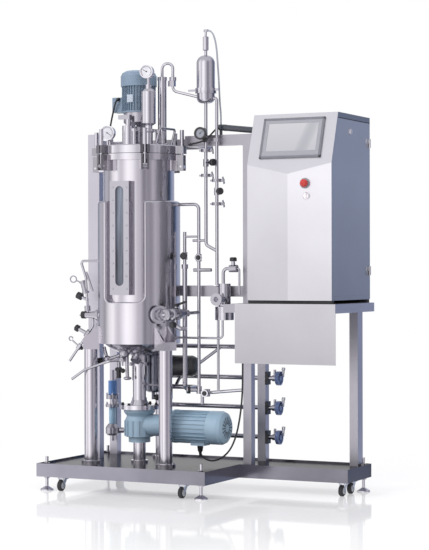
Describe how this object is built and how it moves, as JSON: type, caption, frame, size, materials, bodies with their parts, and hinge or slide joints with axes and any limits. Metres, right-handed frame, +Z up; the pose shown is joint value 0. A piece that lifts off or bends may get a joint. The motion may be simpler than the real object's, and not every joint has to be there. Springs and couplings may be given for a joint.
{
  "type": "skid-mounted bioreactor",
  "caption": "Floor-standing pilot bioreactor: jacketed stainless vessel with stirrer, pipe rack and control cabinet on a skid with levelling feet and casters.",
  "frame": {"origin": "on the floor, below the centre of the whole machine's bounding box", "axes": "+X to the right along the skid's length, +Y to the back, +Z up"},
  "size_m": [1.397, 0.63, 2.09],
  "materials": {
    "brushed_steel": "brushed",
    "polished_steel": "polished",
    "cabinet_paint": "satin",
    "motor_paint": "satin",
    "gear_paint": "satin",
    "pump_paint": "satin",
    "black_plastic": "matte",
    "blue_plastic": "gloss",
    "red_plastic": "gloss",
    "panel_plastic": "satin",
    "black_rubber": "matte",
    "sight_glass": "clear",
    "caster_steel": "zinc plated",
    "lock_metal": "polished"
  },
  "bodies": {
    "machine": {"skid_frame": "polished_steel", "levelling_feet": "brushed_steel", "cabinet_stand": "brushed_steel", "shelf_apron": "brushed_steel", "pipe_rack": "brushed_steel", "vessel_shell": "brushed_steel", "vessel_jacket": "brushed_steel", "vessel_lid": "polished_steel", "swing_bolts": "polished_steel", "sight_glass_cover": "polished_steel", "sight_glass": "sight_glass", "support_legs": "brushed_steel", "top_lantern": "brushed_steel", "top_motor": "motor_paint", "top_fan_cover": "motor_paint", "bottom_lantern": "brushed_steel", "bottom_gearbox": "gear_paint", "drive_motor": "gear_paint", "pressure_gauges": "polished_steel", "catch_pot": "polished_steel", "exhaust_cooler": "polished_steel", "filter_housing": "polished_steel", "vent_hose": "black_rubber", "air_lines": "polished_steel", "jacket_lines": "polished_steel", "water_separator": "polished_steel", "drain_lines": "polished_steel", "pipe_clamps": "polished_steel", "circulation_pump": "pump_paint", "sampling_ports": "polished_steel", "leads": "black_rubber", "cabinet_shell": "cabinet_paint", "touch_panel": "panel_plastic", "control_modules": "panel_plastic", "cabinet_feet": "black_rubber"},
    "agitator": {"agitator": "polished_steel"},
    "foam_breaker": {"foam_breaker": "polished_steel"},
    "cabinet_door": {"cabinet_door": "cabinet_paint"},
    "door_lock": {"door_lock": "lock_metal"},
    "e_stop": {"e_stop": "red_plastic"},
    "selector_knob": {"selector_knob": "black_plastic"},
    "bottom_valve_lever": {"bottom_valve_lever": "polished_steel"},
    "knob_air_inlet": {"knob_air_inlet": "black_plastic"},
    "knob_air_bypass": {"knob_air_bypass": "black_plastic"},
    "knob_jacket_supply": {"knob_jacket_supply": "black_plastic"},
    "knob_separator": {"knob_separator": "black_plastic"},
    "knob_sampling": {"knob_sampling": "black_plastic"},
    "drain_handwheel_1": {"drain_handwheel_1": "blue_plastic"},
    "drain_handwheel_2": {"drain_handwheel_2": "blue_plastic"},
    "drain_handwheel_3": {"drain_handwheel_3": "blue_plastic"},
    "caster_fork_1": {"caster_fork_1": "caster_steel"},
    "caster_wheel_1": {"caster_wheel_1": "black_rubber"},
    "caster_fork_2": {"caster_fork_2": "caster_steel"},
    "caster_wheel_2": {"caster_wheel_2": "black_rubber"},
    "caster_fork_3": {"caster_fork_3": "caster_steel"},
    "caster_wheel_3": {"caster_wheel_3": "black_rubber"},
    "caster_fork_4": {"caster_fork_4": "caster_steel"},
    "caster_wheel_4": {"caster_wheel_4": "black_rubber"},
    "caster_fork_5": {"caster_fork_5": "caster_steel"},
    "caster_wheel_5": {"caster_wheel_5": "black_rubber"}
  },
  "joints": [
    {"name": "caster_swivel_1", "type": "hinge", "parent": "machine", "child": "caster_fork_1", "pos_m": [-0.5835, -0.27, 0.055], "axis": [0, 0, 1], "continuous": true},
    {"name": "caster_roll_1", "type": "hinge", "parent": "caster_fork_1", "child": "caster_wheel_1", "pos_m": [-0.5835, -0.288, 0.025], "axis": [1, 0, 0], "continuous": true},
    {"name": "caster_swivel_2", "type": "hinge", "parent": "machine", "child": "caster_fork_2", "pos_m": [0.0305, -0.27, 0.055], "axis": [0, 0, 1], "continuous": true},
    {"name": "caster_roll_2", "type": "hinge", "parent": "caster_fork_2", "child": "caster_wheel_2", "pos_m": [0.0305, -0.288, 0.025], "axis": [1, 0, 0], "continuous": true},
    {"name": "caster_swivel_3", "type": "hinge", "parent": "machine", "child": "caster_fork_3", "pos_m": [0.6365, 0.094, 0.055], "axis": [0, 0, 1], "continuous": true},
    {"name": "caster_roll_3", "type": "hinge", "parent": "caster_fork_3", "child": "caster_wheel_3", "pos_m": [0.6365, 0.076, 0.025], "axis": [1, 0, 0], "continuous": true},
    {"name": "caster_swivel_4", "type": "hinge", "parent": "machine", "child": "caster_fork_4", "pos_m": [0.6365, 0.195, 0.055], "axis": [0, 0, 1], "continuous": true},
    {"name": "caster_roll_4", "type": "hinge", "parent": "caster_fork_4", "child": "caster_wheel_4", "pos_m": [0.6365, 0.177, 0.025], "axis": [1, 0, 0], "continuous": true},
    {"name": "caster_swivel_5", "type": "hinge", "parent": "machine", "child": "caster_fork_5", "pos_m": [-0.5835, 0.27, 0.055], "axis": [0, 0, 1], "continuous": true},
    {"name": "caster_roll_5", "type": "hinge", "parent": "caster_fork_5", "child": "caster_wheel_5", "pos_m": [-0.5835, 0.252, 0.025], "axis": [1, 0, 0], "continuous": true},
    {"name": "agitator_spin", "type": "hinge", "parent": "machine", "child": "agitator", "pos_m": [-0.335, -0.004, 0.9], "axis": [0, 0, 1], "continuous": true},
    {"name": "foam_breaker_spin", "type": "hinge", "parent": "machine", "child": "foam_breaker", "pos_m": [-0.335, -0.004, 1.56], "axis": [0, 0, 1], "continuous": true},
    {"name": "cabinet_door_hinge", "type": "hinge", "parent": "machine", "child": "cabinet_door", "pos_m": [0.6843, 0.293, 1.2], "axis": [0, 0, 1], "range_deg": [0, 110]},
    {"name": "door_lock_turn", "type": "hinge", "parent": "cabinet_door", "child": "door_lock", "pos_m": [0.675, 0.078, 1.604], "axis": [1, 0, 0], "range_deg": [0, 90]},
    {"name": "e_stop_press", "type": "slide", "parent": "machine", "child": "e_stop", "axis": [-0.075, 0.9972, 0], "range_m": [0, 0.005], "stiffness_N_per_m": 800},
    {"name": "selector_turn", "type": "hinge", "parent": "machine", "child": "selector_knob", "pos_m": [0.5655, -0.15053, 1.316], "axis": [0.075, -0.9972, 0], "range_deg": [-45, 45]},
    {"name": "drain_valve_1", "type": "hinge", "parent": "machine", "child": "drain_handwheel_1", "pos_m": [0.24, 0.282, 0.498], "axis": [1, 0, 0], "range_deg": [0, 360]},
    {"name": "drain_valve_2", "type": "hinge", "parent": "machine", "child": "drain_handwheel_2", "pos_m": [0.24, 0.282, 0.361], "axis": [1, 0, 0], "range_deg": [0, 360]},
    {"name": "drain_valve_3", "type": "hinge", "parent": "machine", "child": "drain_handwheel_3", "pos_m": [0.24, 0.282, 0.226], "axis": [1, 0, 0], "range_deg": [0, 360]},
    {"name": "valve_air_inlet", "type": "hinge", "parent": "machine", "child": "knob_air_inlet", "pos_m": [0.04023, 0.006, 1.484], "axis": [0.866, -0.5, 0], "range_deg": [0, 360]},
    {"name": "valve_air_bypass", "type": "hinge", "parent": "machine", "child": "knob_air_bypass", "pos_m": [0.0747, 0.0053, 1.353], "axis": [0.7071, -0.7071, 0], "range_deg": [0, 360]},
    {"name": "valve_jacket_supply", "type": "hinge", "parent": "machine", "child": "knob_jacket_supply", "pos_m": [-0.10464, -0.00447, 1.062], "axis": [0.342, -0.9397, 0], "range_deg": [0, 360]},
    {"name": "valve_separator", "type": "hinge", "parent": "machine", "child": "knob_separator", "pos_m": [0.13, 0.028, 1.046], "axis": [0, 0, 1], "range_deg": [0, 360]},
    {"name": "valve_sampling", "type": "hinge", "parent": "machine", "child": "knob_sampling", "pos_m": [-0.64387, -0.0431, 0.72869], "axis": [-0.9012, -0.0501, 0.4306], "range_deg": [0, 360]},
    {"name": "bottom_valve_turn", "type": "hinge", "parent": "machine", "child": "bottom_valve_lever", "pos_m": [-0.372, -0.098, 0.588], "axis": [0, -1, 0], "range_deg": [0, 60]}
  ]
}
